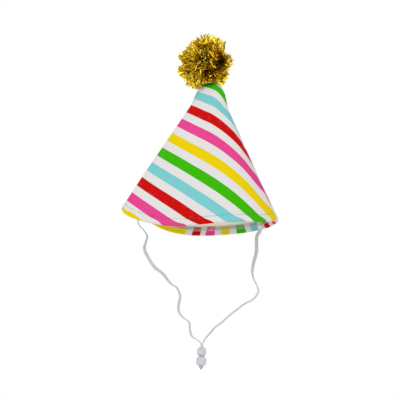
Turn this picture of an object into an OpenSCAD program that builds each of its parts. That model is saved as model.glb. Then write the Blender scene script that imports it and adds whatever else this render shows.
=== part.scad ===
// Party hat for a pet or a small head: a cone of striped fabric over a felt
// stiffener, a tinsel pompom tied to its tip, and a chin strap of two flat
// elastics that run through a sliding bead down to a stopper bead and a knot.
// Frame: +Z up the cone's axis, +X to the wearer's left as seen from the front,
// -Y to the front. The origin is the middle of the opening the head goes into.

/* [Opening] */
// Half of the opening's width, side to side
half_width = 70; // [60:1:80]
// Opening in front of the middle
front_depth = 38; // [34:1:44]
// Opening behind the middle
back_depth = 40; // [36:1:46]
// How far the rim rises at the two sides
side_rise = 15; // [10:1:18]

/* [Cone] */
// Height of the point that the cone's sides aim at
cone_height = 141; // [125:1:160]
// How far the soft tip leans sideways
tip_lean = 2.5; // [0:0.5:4]
// Thickness of the striped fabric
fabric = 0.6; // [0.4:0.1:0.8]
// Thickness of the felt stiffener
felt = 1.2; // [0.8:0.1:1.6]
// Depth of the hem turned up inside
hem_depth = 8; // [6:0.5:12]

/* [Pompom] */
// Diameter of the tinsel ball
pompom_d = 47; // [40:1:55]
// Sideways offset of the ball from the cone's axis
pompom_side = -6.3; // [-8:0.1:-4]
// Height of the ball's centre above the opening
pompom_z = 150.5; // [149:0.5:153]

/* [Chin strap] */
// Width of the flat elastic
elastic_w = 3; // [2.6:0.1:3.2]
// Thickness of the flat elastic
elastic_t = 0.9; // [0.7:0.1:1]
// Diameter of the sliding bead
toggle_d = 8.1; // [7.5:0.1:9]
// Height of the sliding bead
toggle_h = 7.6; // [7:0.1:8]
// Diameter of the stopper bead
stopper_d = 8.8; // [8:0.1:9.5]
// Height of the stopper bead
stopper_h = 8.6; // [8:0.1:9]
// Diameter of the hole through both beads
bead_hole = 4.2; // [4:0.1:4.6]

/* [Hidden] */

// Gap between pieces that lie on each other
gap = 0.1;
// Steps around the cone, and along it in the round tip and in the straight side
around = 90;
tip_steps = 7;
side_steps = 9;

// The opening is not an ellipse: third and fourth waves of its outline make the
// flat front panel, the round corner at +X and the narrow fold at -X.
wave3 = [-0.08, -0.03];
wave4 = [-0.04, 0.045];
// Waves of the rim's height: [cosine, sine] of once, twice, three and four times round
rim_waves = [[0, 1.1], [0, -0.9], [-1.8, 1.4], [1.3, 0]];
// How strongly the fold at -X is pinched, and how round it stays
fold_pinch = 0.35;
fold_round = 0.06;
// The cone is rounder towards its tip: power, and where the rounding fades
round_power = -0.2675;
round_fade = 0.04;
// Share of the height taken by the round tip, and share cut off above it
tip_share = 0.25;
tip_cut = 0.07;
tip_hold = [0.2, 0.195];
// Share of the profile parameter spent on the round tip
tip_param = 0.2;
lean_share = 0.4;

function wave(a, pair, times) = pair[0] * cos(times * a) + pair[1] * sin(times * a);
function outline(a) = 1 + wave(a, wave3, 3) + wave(a, wave4, 4);
function pinch(a) =
  pow(pow(sin(a), 2) + fold_round, fold_pinch * sqrt(max(-cos(a), 0)));
function rim_x(a) = half_width * cos(a) * outline(a);
function rim_y(a) =
  (sin(a) < 0 ? front_depth : back_depth) * sin(a) * outline(a) * pinch(a);
function rim_z(a) =
  side_rise * pow(cos(a), 2)
  + wave(a, rim_waves[0], 1) + wave(a, rim_waves[1], 2)
  + wave(a, rim_waves[2], 3) + wave(a, rim_waves[3], 4);
function roundness(r) = pow((r * r + round_fade) / (1 + round_fade), round_power);

// Profile of the cone: [share of the radius, share of the height], k from 0 at
// the tip to 1 at the rim. The tip is a Bezier dome, the side is straight.
function bezier(u, p) =
  pow(1 - u, 3) * p[0] + 3 * u * pow(1 - u, 2) * p[1]
  + 3 * u * u * (1 - u) * p[2] + pow(u, 3) * p[3];
function dome(u) = [
  bezier(u, [0, tip_hold[0], tip_hold[1], tip_share]),
  bezier(u, [tip_cut, tip_cut, tip_hold[1], tip_share])
];
function side(k) = tip_share + (1 - tip_share) * (k - tip_param) / (1 - tip_param);
function profile(k) = k < tip_param ? dome(k / tip_param) : [side(k), side(k)];
function lean(t) = tip_lean * pow(max(0, 1 - t / lean_share), 2);

// A point of the outer surface, and the same point moved inwards by a depth
function on_cone(k, a) =
  let (rt = profile(k))
  [
    rim_x(a) * rt[0] + lean(rt[1]),
    rim_y(a) * rt[0] * roundness(rt[0]),
    cone_height - (cone_height - rim_z(a)) * rt[1]
  ];
function unit(v) = v / norm(v);
function inward(k, a) =
  unit(cross(on_cone(k, a + 0.1) - on_cone(k, a - 0.1),
             on_cone(k + 0.001, a) - on_cone(k - 0.001, a)));
function at(k, a, depth) = on_cone(k, a) + depth * inward(k, a);

// Length of the side along the slant, and the parameter a length above the rim
slant = 142;
function above_rim(mm) = 1 - mm * (1 - tip_param) / ((1 - tip_share) * slant);

// Depth of each layer below the outer surface of the fabric
felt_out = fabric + gap;
felt_in = felt_out + felt;
hem_out = felt_in + gap;
hem_in = hem_out + fabric;

function stations(first, last) = concat(
  [for (i = [0 : tip_steps - 1]) first + (tip_param - first) * i / tip_steps],
  [for (i = [0 : side_steps]) tip_param + (last - tip_param) * i / side_steps]
);
function reversed(list) = [for (i = [len(list) - 1 : -1 : 0]) list[i]];

// Faces of a grid of rows x cols points; rows always close, cols close if asked
function grid_faces(rows, cols) = [
  for (j = [0 : rows - 1]) for (i = [0 : cols - 1])
    let (a = j * cols + i, b = j * cols + (i + 1) % cols,
         c = ((j + 1) % rows) * cols + (i + 1) % cols, d = ((j + 1) % rows) * cols + i)
    each [[a, b, c], [a, c, d]]
];

// A closed profile of [k, depth] points carried all the way round the cone
module ring(loop) {
  points = [for (j = [0 : around - 1]) for (p = loop) at(p[0], 360 * j / around, p[1])];
  polyhedron(points, grid_faces(around, len(loop)));
}

// Faces of a tube of count rings with sides points each, closed at both ends
function tube_faces(count, sides) = concat(
  [for (i = [0 : count - 2]) for (j = [0 : sides - 1])
    let (a = i * sides + j, b = i * sides + (j + 1) % sides)
    each [[a, b, b + sides], [a, b + sides, a + sides]]],
  [reversed([for (j = [0 : sides - 1]) j])],
  [[for (j = [0 : sides - 1]) (count - 1) * sides + j]]
);

// A pad that lies on the surface between two depths: a strip of steps pieces
// from [k0, a0] to [k1, a1], spread degrees wide
module strip(k0, k1, a0, a1, spread, depth0, depth1, steps) {
  points = [
    for (i = [0 : steps])
      let (k = k0 + (k1 - k0) * i / steps, a = a0 + (a1 - a0) * i / steps)
      each [
        at(k, a - spread / 2, depth0), at(k, a + spread / 2, depth0),
        at(k, a + spread / 2, depth1), at(k, a - spread / 2, depth1)
      ]
  ];
  polyhedron(points, tube_faces(steps + 1, 4));
}

module hat_fabric() {
  rim_in = above_rim(fabric + gap);
  hem_top = above_rim(hem_depth);
  hem_mid = above_rim(hem_depth / 2);
  outer = [for (k = stations(tip_param * 0.03, 1)) [k, 0]];
  inner = [for (k = stations(tip_param * 0.03, rim_in)) [k, fabric]];
  hem = [
    [1, hem_in], [hem_mid, hem_in], [hem_top, hem_in],
    [hem_top, hem_out], [hem_mid, hem_out], [rim_in, hem_out]
  ];
  color("whitesmoke") ring(concat(outer, hem, reversed(inner)));
}

module stiffener() {
  bottom = above_rim(fabric + 2 * gap);
  outer = [for (k = stations(tip_param * 0.06, bottom)) [k, felt_out]];
  inner = [for (k = stations(tip_param * 0.06, bottom)) [k, felt_in]];
  color("wheat") ring(concat(outer, reversed(inner)));
}

// Seam allowance pressed open inside, from the hem up towards the tip
seam_angle = 105;
seam_spread = 8;
module back_seam() {
  color("ivory")
    strip(0.3, above_rim(hem_depth + 1), seam_angle, seam_angle, seam_spread,
          felt_in + gap, felt_in + gap + fabric, 8);
}

// Thread on the outside, a little above the rim
topstitch_up = 6;
module hem_topstitch() {
  low = above_rim(topstitch_up);
  high = above_rim(topstitch_up + 0.6);
  color("white") ring([[high, -0.25], [low, -0.25], [low, -0.02], [high, -0.02]]);
}

// Overlocked edge of the turned-up hem, on the inside
overlock_w = 3.5;
module hem_overlock() {
  low = above_rim(hem_depth - overlock_w);
  high = above_rim(hem_depth);
  color("white")
    ring([[high, hem_in + 0.02], [low, hem_in + 0.02],
          [low, hem_in + 0.3], [high, hem_in + 0.3]]);
}

// Bar tacks that hold the elastics on the inside of the hem
tack_out = hem_in + 0.05;
tack_in = hem_in + 1.1;
left_angle = 158;
right_angle = 48;
tack_spread = 4;
module tack(angle) {
  color("white")
    strip(above_rim(4.2), above_rim(0.4), angle, angle, tack_spread, tack_out, tack_in, 2);
}
module tack_left() { tack(left_angle); }
module tack_right() { tack(right_angle); }

// The pompom pivots where its tie leaves the tip of the cone
pivot = [lean(tip_cut), 0, cone_height * (1 - tip_cut) + 1.5];
pompom_at = [pompom_side, 0, pompom_z];
tie_r = 0.6;
neck_r = 1.1;
neck_h = 2.6;

// Knot of the tie inside the tip, with the thread up through the fabric
module tie_knot() {
  color("goldenrod") {
    translate(pivot - [0, 0, 6.7]) cylinder(h = 2, r = 2.2, $fn = 32);
    translate(pivot - [0, 0, 4.8]) cylinder(h = 4.7, r = tie_r, $fn = 24);
  }
}

// Wrapped thread between the tip and the ball
module pompom_neck() {
  color("goldenrod")
    translate(pivot + [0, 0, 0.2]) cylinder(h = neck_h, r = neck_r, $fn = 32);
}

// The ball is bound at its core and parted over the tip that it sits on
core_r = [2.4, 4.4];
core_h = 3;
under_slope = 14;
under_up = 2.6;
module pompom_tinsel() {
  reach = pompom_d;
  color("gold") difference() {
    translate(pompom_at) sphere(d = pompom_d, $fn = 96);
    translate(pivot + [0, 0, under_up - reach * tan(under_slope)])
      cylinder(h = reach * tan(under_slope), r1 = reach, r2 = 0, $fn = 96);
    translate(pivot - [0, 0, 1]) cylinder(h = neck_h + 2, r = neck_r + 1.1, $fn = 32);
    translate(pompom_at) cylinder(h = core_h + 0.2, r = core_r[1] + 0.1, center = true, $fn = 48);
  }
}
module pompom_binding() {
  color("goldenrod") translate(pompom_at) difference() {
    cylinder(h = core_h, r = core_r[1], center = true, $fn = 48);
    cylinder(h = core_h + 1, r = core_r[0], center = true, $fn = 48);
  }
}

// Beads: both on one upright line, the stopper under the sliding one
bead_at = [1, 15, -105];
stopper_at = bead_at - [0, 0, 8.4];
knot_at = stopper_at - [0, 0, stopper_h / 2 + 1.3];
knot_r = 1.9;

// Routes of the two elastics, from the rim to the top of the sliding bead
left_route = [
  [-60.5, 6, 13], [-60, 6, 8], [-58, 7, 3], [-54, 7, -1], [-51, 8, -6], [-52, 8, -11],
  [-53, 9, -17], [-49, 9, -25], [-43, 10, -33], [-36, 11, -38], [-29, 12, -46],
  [-23, 12, -50], [-20, 12, -57], [-21, 13, -66], [-20, 13, -72], [-16, 14, -76],
  [-11, 14, -80], [-10, 14, -87], [-8, 15, -92], [-3, 15, -95], [0, 15, -98]
];
right_route = [
  [48, 30, 4.5], [46, 29, 1], [46, 28, -6], [46, 27, -14], [44, 25, -23], [43, 23, -31],
  [44, 22, -37], [47, 21, -43], [49, 21, -48], [48, 20, -52], [44, 20, -57], [37, 19, -61],
  [31, 18, -66], [24, 18, -72], [18, 17, -78], [12, 16, -83], [8, 16, -88], [4, 15, -93],
  [2, 15, -97]
];
// Turn of the flat elastic about its own length: 0 faces the front, 90 is edge on
left_turn = [[0, 40], [0.12, 65], [0.35, 10], [0.6, 55], [0.85, 80], [1, 90]];
right_turn = [[0, -20], [0.1, 0], [0.25, 8], [0.5, 55], [0.8, 75], [1, 90]];

// The last stretch goes straight down through both beads into the knot
function through_beads(side) = [
  for (z = [bead_at[2] + toggle_h / 2, bead_at[2], stopper_at[2], knot_at[2] + 1])
    [bead_at[0] + side * (elastic_t + gap) / 2, bead_at[1], z]
];

// Smooth curve through the points, steps pieces for each gap
function spline(p, steps) =
  let (n = len(p))
  [
    for (i = [0 : n - 2]) for (s = [0 : steps - 1])
      let (u = s / steps, a = p[max(i - 1, 0)], b = p[i], c = p[i + 1], d = p[min(i + 2, n - 1)])
      0.5 * (2 * b + (c - a) * u + (2 * a - 5 * b + 4 * c - d) * u * u
             + (3 * b - a - 3 * c + d) * u * u * u),
    p[n - 1]
  ];

// Section of the flat elastic: a rectangle with its corners cut, one unit wide and thick
chamfer = [0.08, 0.2];
flat_section = [
  [0.5, 0.5 - chamfer[1]], [0.5 - chamfer[0], 0.5], [chamfer[0] - 0.5, 0.5],
  [-0.5, 0.5 - chamfer[1]], [-0.5, chamfer[1] - 0.5], [chamfer[0] - 0.5, -0.5],
  [0.5 - chamfer[0], -0.5], [0.5, chamfer[1] - 0.5]
];
module elastic(route, turns, side) {
  line = concat(spline(route, 2), through_beads(side));
  last = len(line) - 1;
  free = len(line) - 5;
  points = [
    for (i = [0 : last])
      let (
        tangent = unit(line[min(i + 1, last)] - line[max(i - 1, 0)]),
        turn = lookup(min(i / free, 1), turns),
        flat = [cos(turn), sin(turn), 0],
        wide = unit(flat - (flat * tangent) * tangent),
        thick = cross(tangent, wide)
      )
      for (p = flat_section)
        line[i] + p[0] * elastic_w * wide + p[1] * elastic_t * thick
  ];
  color("gainsboro") polyhedron(points, tube_faces(len(line), len(flat_section)));
}
module elastic_left() { elastic(left_route, left_turn, -1); }
module elastic_right() { elastic(right_route, right_turn, 1); }

// A drilled bead: a ball trimmed to a slightly straight side
module bead(d, h) {
  ball = sqrt(pow(h, 2) + pow(bead_hole, 2));
  color("white", 0.8) difference() {
    intersection() {
      sphere(d = ball, $fn = 64);
      cylinder(h = h + 1, d = d, center = true, $fn = 64);
    }
    cylinder(h = h + 2, d = bead_hole, center = true, $fn = 48);
  }
}
module toggle_bead() { translate(bead_at) bead(toggle_d, toggle_h); }
module stopper_bead() { translate(stopper_at) bead(stopper_d, stopper_h); }
module end_knot() { color("gainsboro") translate(knot_at) sphere(r = knot_r, $fn = 32); }

hat_fabric();
stiffener();
back_seam();
hem_topstitch();
hem_overlock();
tack_left();
tack_right();
tie_knot();
pompom_neck();
pompom_tinsel();
pompom_binding();
elastic_left();
elastic_right();
toggle_bead();
stopper_bead();
end_knot();
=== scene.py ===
"""Party hat: striped fabric cone with a tinsel pompom and a chin strap of flat elastic.

Everything is in metres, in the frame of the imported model: +Z up the cone's axis,
-Y to the front, the origin in the middle of the opening.
"""
import math

import bmesh
import bpy
import numpy as np
from mathutils import Matrix, Vector, noise


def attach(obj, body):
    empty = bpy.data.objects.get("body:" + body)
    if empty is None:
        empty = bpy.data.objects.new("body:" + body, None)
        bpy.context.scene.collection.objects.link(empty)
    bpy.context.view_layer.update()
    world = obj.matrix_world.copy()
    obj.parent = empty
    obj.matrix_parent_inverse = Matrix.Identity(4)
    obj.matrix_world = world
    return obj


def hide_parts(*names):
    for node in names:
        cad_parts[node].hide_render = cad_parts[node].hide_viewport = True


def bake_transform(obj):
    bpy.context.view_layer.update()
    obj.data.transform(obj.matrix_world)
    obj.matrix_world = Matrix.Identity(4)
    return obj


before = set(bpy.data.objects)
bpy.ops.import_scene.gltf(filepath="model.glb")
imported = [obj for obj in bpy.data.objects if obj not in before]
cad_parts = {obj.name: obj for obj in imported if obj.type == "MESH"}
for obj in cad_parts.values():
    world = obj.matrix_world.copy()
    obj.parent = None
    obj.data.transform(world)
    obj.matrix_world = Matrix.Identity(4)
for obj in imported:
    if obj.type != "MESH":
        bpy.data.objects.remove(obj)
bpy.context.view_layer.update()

MM = 0.001
SEED = 20

# ------------------------------------------------------------------ the cone
# A scratch program fitted the opening's sizes and waves, CONE_HEIGHT, ROUND_POWER and the print's
# pitch, turn and shift to the photo. They were then scaled and rounded
HALF_WIDTH = 70 * MM
FRONT_DEPTH = 38 * MM
BACK_DEPTH = 40 * MM
SIDE_RISE = 15 * MM
CONE_HEIGHT = 141 * MM
TIP_LEAN = 2.5 * MM
FABRIC = 0.6 * MM
FELT = 1.2 * MM
GAP = 0.1 * MM
HEM_DEPTH = 8 * MM
WAVE3 = (-0.08, -0.03)
WAVE4 = (-0.04, 0.045)
RIM_WAVES = ((0, 1.1 * MM), (0, -0.9 * MM), (-1.8 * MM, 1.4 * MM), (1.3 * MM, 0))
FOLD_PINCH, FOLD_ROUND = 0.35, 0.06
ROUND_POWER, ROUND_FADE = -0.2675, 0.04
TIP_SHARE, TIP_CUT, TIP_PARAM, LEAN_SHARE = 0.25, 0.07, 0.2, 0.4
TIP_HOLD = (0.2, 0.195)
SLANT = 142 * MM
SEAM = math.radians(105)

# ------------------------------------------------------------------ the print
STRIPE_PITCH = 15.7 * MM
STRIPE_SHARE = 0.54
STRIPE_TURN = math.radians(-35.2)
STRIPE_SHIFT = 0.488
STRIPES = ("green", "teal", "red", "pink", "yellow")
# How the print strays from straight stripes: millimetres, by powers of the turn in the cut
# over PRINT_TURN and of the distance over PRINT_REACH. These ten sizes weren't chosen by hand:
# a scratch program fitted them to the stripes in the photo by least squares
PRINT_DRIFT = (
    (0, 0, -7.4), (1, 0, -4.9), (0, 1, 36.5), (1, 1, 16.0), (2, 0, -5.6),
    (0, 2, -48.8), (3, 0, -4.9), (2, 1, 6.4), (1, 2, -9.2), (0, 3, 17.4),
)
PRINT_TURN = math.radians(35)
PRINT_REACH = 145 * MM
PRINT_EDGES = (math.radians(-35), math.radians(25))
# Share of the turn kept where the cloth is eased past the left fold, then the turn lost round the
# right corner and the turns regained behind it: how much, from where, and over how much turn
LEFT_KEPT = 0.65
CORNER_LOST, CORNER_FROM, CORNER_OVER = (math.radians(v) for v in (11, 22, 17))
EDGE_REGAINED, EDGE_FROM, EDGE_OVER = (math.radians(v) for v in (3.6, 39, 9))
BACK_REGAINED, BACK_FROM, BACK_OVER = (math.radians(v) for v in (3.1, 44, 29))
BACK_MOST = 1.2
# Share of the light that the cloth sends back, against its colour as it looks in the studio
CLOTH_SHARE = 0.8
COLOURS = {
    "green": (60, 185, 0),
    "teal": (125, 205, 208),
    "red": (205, 10, 5),
    "pink": (232, 70, 145),
    "yellow": (238, 210, 0),
    "white": (232, 229, 228),
}


def linear(rgb, scale=1.0):
    """Linear colour of an 8-bit screen colour."""
    return [scale * ((c / 255 + 0.055) / 1.055) ** 2.4 if c > 10 else scale * c / 3294.6 for c in rgb]


def bell(off, width):
    """A smooth bump: 1 where off is 0, fading over the width."""
    return np.exp(-((off / width) ** 2))


def wave(a, pair, times):
    """A pair of cosine and sine sizes, so many times round."""
    return pair[0] * np.cos(times * a) + pair[1] * np.sin(times * a)


def outline(a):
    """How far the opening's outline is from an ellipse, as a share of its radius."""
    return 1 + wave(a, WAVE3, 3) + wave(a, WAVE4, 4)


def rim(a):
    """The rim's point at angle a, as x, y, z."""
    c, s = np.cos(a), np.sin(a)
    pinch = (s**2 + FOLD_ROUND) ** (FOLD_PINCH * np.sqrt(np.maximum(-c, 0)))
    depth = np.where(s < 0, FRONT_DEPTH, BACK_DEPTH)
    height = SIDE_RISE * c**2 + sum(wave(a, w, i + 1) for i, w in enumerate(RIM_WAVES))
    return HALF_WIDTH * c * outline(a), depth * s * outline(a) * pinch, height


def bezier(u, p):
    v = 1 - u
    return v**3 * p[0] + 3 * u * v**2 * p[1] + 3 * u * u * v * p[2] + u**3 * p[3]


def profile(k):
    """Shares of the radius and of the height, for k from 0 at the tip to 1 at the rim."""
    u = np.clip(k / TIP_PARAM, 0, 1)
    side = TIP_SHARE + (1 - TIP_SHARE) * (k - TIP_PARAM) / (1 - TIP_PARAM)
    radius = np.where(k < TIP_PARAM, bezier(u, (0, TIP_HOLD[0], TIP_HOLD[1], TIP_SHARE)), side)
    height = np.where(k < TIP_PARAM, bezier(u, (TIP_CUT, TIP_CUT, TIP_HOLD[1], TIP_SHARE)), side)
    return radius, height


def on_cone(k, a):
    """Points of the fabric's outer surface."""
    radius, height = profile(k)
    x, y, z = rim(a)
    roundness = ((radius**2 + ROUND_FADE) / (1 + ROUND_FADE)) ** ROUND_POWER
    lean = TIP_LEAN * np.maximum(0, 1 - height / LEAN_SHARE) ** 2
    return np.stack(
        [x * radius + lean, y * radius * roundness, CONE_HEIGHT - (CONE_HEIGHT - z) * height], -1
    )


def inward(k, a):
    """Unit normals of the outer surface, pointing into the hat."""
    e = 1e-3
    n = np.cross(on_cone(k, a + e) - on_cone(k, a - e), on_cone(k + e, a) - on_cone(k - e, a))
    return n / np.linalg.norm(n, axis=-1, keepdims=True)


def at(k, a, depth):
    """Points a depth inside the outer surface."""
    k, a, depth = np.broadcast_arrays(*(np.asarray(v, float) for v in (k, a, depth)))
    return on_cone(k, a) + depth[..., None] * inward(k, a)


def above_rim(length):
    """The parameter k at a length up the side from the rim."""
    return 1 - length * (1 - TIP_PARAM) / ((1 - TIP_SHARE) * SLANT)


FELT_OUT = FABRIC + GAP
FELT_IN = FELT_OUT + FELT
HEM_OUT = FELT_IN + GAP
HEM_IN = HEM_OUT + FABRIC

# ------------------------------------------------------------------ the camera
VIEW_AIM = Vector((-5.8, 0, 27.2)) * MM
VIEW_UP = math.radians(8.5)
VIEW_ROLL = math.radians(-2.3)
VIEW_DISTANCE = 2.4
VIEW_WIDTH = 0.352


def make_camera():
    """A long lens a little below the opening, looking up into it, with a slight roll."""
    ahead = Vector((0, math.cos(VIEW_UP), math.sin(VIEW_UP)))
    over = Vector((0, -math.sin(VIEW_UP), math.cos(VIEW_UP)))
    side = Vector((1, 0, 0))
    right = math.cos(VIEW_ROLL) * side - math.sin(VIEW_ROLL) * over
    up = math.sin(VIEW_ROLL) * side + math.cos(VIEW_ROLL) * over
    data = bpy.data.cameras.new("camera")
    data.sensor_width = 36
    data.lens = data.sensor_width * VIEW_DISTANCE / VIEW_WIDTH
    data.clip_end = 20
    camera = bpy.data.objects.new("camera", data)
    turn = Matrix((right, up, -ahead)).transposed().to_4x4()
    camera.matrix_world = Matrix.Translation(VIEW_AIM - ahead * VIEW_DISTANCE) @ turn
    bpy.context.scene.collection.objects.link(camera)
    bpy.context.scene.camera = camera


# ------------------------------------------------------------------ meshes
def new_piece(name, points, faces, material, smooth=True):
    """A mesh object from points and faces."""
    mesh = bpy.data.meshes.new(name)
    mesh.from_pydata([tuple(p) for p in np.asarray(points)], [], [tuple(f) for f in faces])
    mesh.validate()
    if smooth:
        mesh.shade_smooth()
    piece = bpy.data.objects.new(name, mesh)
    bpy.context.scene.collection.objects.link(piece)
    mesh.materials.append(material)
    return piece


def grid_faces(rows, cols, close_rows=False, close_cols=False):
    """Quads of a grid of rows x cols points."""
    i, j = np.meshgrid(np.arange(rows if close_rows else rows - 1),
                       np.arange(cols if close_cols else cols - 1), indexing="ij")
    i, j = i.ravel(), j.ravel()
    i2, j2 = (i + 1) % rows, (j + 1) % cols
    return np.stack([i * cols + j, i * cols + j2, i2 * cols + j2, i2 * cols + j], 1)


def unit(v):
    """Vectors scaled to length 1."""
    return v / np.maximum(np.linalg.norm(v, axis=-1, keepdims=True), 1e-12)


def tangents(line):
    """Unit directions along a polyline, at its points."""
    return unit(np.gradient(np.asarray(line, float), axis=0))


def frames(line, across):
    """Two unit vectors at each point of a line: across, made square to the line, and the third."""
    t = tangents(line)
    wide = unit(across - (across * t).sum(-1, keepdims=True) * t)
    return wide, np.cross(t, wide)


def sweep(line, across, section):
    """Points and faces of a closed tube: section is [(wide, thick), ...] at every point."""
    line = np.asarray(line, float)
    wide, thick = frames(line, np.broadcast_to(np.asarray(across, float), line.shape))
    section = np.asarray(section, float)
    if section.ndim == 2:
        section = np.broadcast_to(section, (len(line), *section.shape))
    points = (line[:, None] + section[..., :1] * wide[:, None] + section[..., 1:] * thick[:, None])
    n = section.shape[1]
    faces = [tuple(f) for f in grid_faces(len(line), n, close_cols=True)]
    faces.append(tuple(range(n))[::-1])
    faces.append(tuple(range((len(line) - 1) * n, len(line) * n)))
    return points.reshape(-1, 3), faces


def ellipse(width, thickness, sides):
    """An elliptical section for a sweep."""
    t = 2 * np.pi * np.arange(sides) / sides
    return np.stack([width / 2 * np.cos(t), thickness / 2 * np.sin(t)], 1)


def joined(parts):
    """Points and faces of several (points, faces) as one."""
    points, faces, start = [], [], 0
    for p, f in parts:
        points.append(np.asarray(p))
        faces += [tuple(np.asarray(q) + start) for q in f]
        start += len(p)
    return np.concatenate(points), faces


def store(piece, name, values):
    """Keep a number for each of a mesh's points, for its material to read."""
    layer = piece.data.attributes.new(name, "FLOAT", "POINT")
    layer.data.foreach_set("value", values.astype(np.float32))


def fix_normals(piece):
    """Turn all of a closed mesh's faces outwards."""
    bm = bmesh.new()
    bm.from_mesh(piece.data)
    bmesh.ops.recalc_face_normals(bm, faces=bm.faces)
    bm.to_mesh(piece.data)
    bm.free()


# ------------------------------------------------------------------ material nodes
class Nodes:
    """A short way to write a node tree."""

    def __init__(self, name):
        self.material = bpy.data.materials.new(name)
        self.material.use_nodes = True
        self.tree = self.material.node_tree
        self.shader = self.tree.nodes["Principled BSDF"]

    def add(self, kind, inputs=(), **settings):
        node = self.tree.nodes.new("ShaderNode" + kind)
        for key, value in settings.items():
            setattr(node, key, value)
        for key, value in dict(inputs).items():
            self.set(node.inputs[key], value)
        return node

    def set(self, socket, value):
        if isinstance(value, bpy.types.NodeSocket):
            self.tree.links.new(value, socket)
        else:
            socket.default_value = value

    def math(self, operation, a, b=0.0, c=0.0):
        node = self.add("Math", {0: a, 1: b, 2: c}, operation=operation)
        return node.outputs[0]

    def mix(self, factor, a, b, blend="MIX"):
        node = self.add("Mix", data_type="RGBA", blend_type=blend)
        self.set(node.inputs["Factor"], factor)
        self.set(node.inputs[6], a)
        self.set(node.inputs[7], b)
        return node.outputs[2]

    def noise(self, vector, scale, detail=3.0, rough=0.55):
        node = self.add("TexNoise", {"Scale": scale, "Detail": detail, "Roughness": rough})
        if vector is not None:
            self.set(node.inputs["Vector"], vector)
        return node.outputs["Fac"]

    def ramp(self, value, low, high):
        node = self.add("MapRange", {"Value": value, "From Min": low, "From Max": high})
        node.interpolation_type = "SMOOTHSTEP"
        return node.outputs["Result"]

    def bump(self, height, strength, distance):
        node = self.add("Bump", {"Height": height, "Strength": strength, "Distance": distance})
        self.set(self.shader.inputs["Normal"], node.outputs["Normal"])

    def finish(self, **sockets):
        for key, value in sockets.items():
            self.set(self.shader.inputs[key.replace("_", " ")], value)
        return self.material

    def place(self):
        return self.add("TexCoord").outputs["Object"]


def rgba(rgb, scale=1.0):
    """Colour for a shader's socket, from an 8-bit screen colour."""
    return (*linear(rgb, scale), 1.0)


def weave_height(n, along, across, pitch):
    """Height of a plain weave: two crossed sets of threads, over and under each other."""
    u = n.math("MULTIPLY", along, math.pi / pitch)
    v = n.math("MULTIPLY", across, math.pi / pitch)
    warp = n.math("ABSOLUTE", n.math("SINE", u))
    weft = n.math("ABSOLUTE", n.math("SINE", v))
    over = n.math("MULTIPLY", n.math("SINE", n.math("MULTIPLY", u, 0.5)),
                  n.math("SINE", n.math("MULTIPLY", v, 0.5)))
    return n.math("MULTIPLY_ADD", over, 0.35, n.math("ADD", warp, weft))


def striped_cloth():
    """Printed stripes on white canvas. The UV map holds the flat cut's millimetres."""
    n = Nodes("striped_cloth")
    split = n.add("SeparateXYZ", {0: n.add("UVMap", uv_map="cut").outputs["UV"]})
    along, across = split.outputs["X"], split.outputs["Y"]
    wobble = n.noise(n.place(), 60.0, 2.0)
    ragged = n.noise(n.place(), 900.0, 2.0)
    edge = n.math("MULTIPLY_ADD", n.math("SUBTRACT", wobble, 0.5), 0.5, along)
    edge = n.math("MULTIPLY_ADD", n.math("SUBTRACT", ragged, 0.5), 0.25, edge)
    turn = n.math("SUBTRACT", n.math("DIVIDE", edge, STRIPE_PITCH / MM), STRIPE_SHIFT)
    number = n.math("ROUND", turn)
    off_centre = n.math("ABSOLUTE", n.math("SUBTRACT", turn, number))
    soft = 0.008
    inked = n.math("SUBTRACT", 1.0, n.ramp(off_centre, STRIPE_SHARE / 2 - soft, STRIPE_SHARE / 2 + soft))
    which = n.math("FLOORED_MODULO", number, float(len(STRIPES)))
    ink = rgba(COLOURS[STRIPES[0]], CLOTH_SHARE)
    for i, name in enumerate(STRIPES[1:], start=1):
        ink = n.mix(n.math("GREATER_THAN", which, i - 0.5), ink, rgba(COLOURS[name], CLOTH_SHARE))
    mottle = n.noise(n.place(), 240.0, 4.0, 0.7)
    thin_ink = n.math("MULTIPLY", n.ramp(mottle, 0.55, 0.85), 0.10)
    inked = n.math("SUBTRACT", inked, n.math("MULTIPLY", inked, thin_ink))
    white = COLOURS["white"]
    cloth = n.mix(n.noise(n.place(), 35.0), rgba(white, 0.96 * CLOTH_SHARE), rgba(white, CLOTH_SHARE))
    colour = n.mix(inked, cloth, ink)
    height = weave_height(n, along, across, 0.55)
    # Painted shade: darker in the weave's hollows, and in the crease that the hem's stitches pull into the
    # cloth
    shade = n.math("MULTIPLY_ADD", n.ramp(height, 0.2, 1.9), 0.07, 0.93)
    crease_shade = n.add("Attribute", attribute_name="crease_shade").outputs["Fac"]
    shade = n.math("MULTIPLY", shade, n.math("MULTIPLY_ADD", crease_shade, -0.26, 1.0))
    colour = n.mix(1.0, colour, n.add("CombineColor", {0: shade, 1: shade, 2: shade}).outputs[0], "MULTIPLY")
    fuzz = n.noise(n.place(), 2600.0, 2.0)
    n.bump(n.math("MULTIPLY_ADD", fuzz, 0.5, height), 0.35, 0.00008)
    return n.finish(Base_Color=colour, Roughness=0.9, Specular_IOR_Level=0.08)


def felt():
    """Beige felt with a cloudy, fibrous nap."""
    n = Nodes("felt")
    cloud = n.noise(n.place(), 90.0, 5.0, 0.7)
    fibre = n.noise(n.place(), 1400.0, 5.0, 0.8)
    colour = n.mix(cloud, rgba((236, 226, 202)), rgba((248, 240, 222)))
    colour = n.mix(n.math("MULTIPLY", n.ramp(fibre, 0.45, 0.7), 0.2), colour, rgba((204, 190, 162)))
    n.bump(n.math("ADD", fibre, cloud), 0.6, 0.00025)
    return n.finish(Base_Color=colour, Roughness=0.95, Sheen_Weight=0.3, Specular_IOR_Level=0.15)


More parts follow.
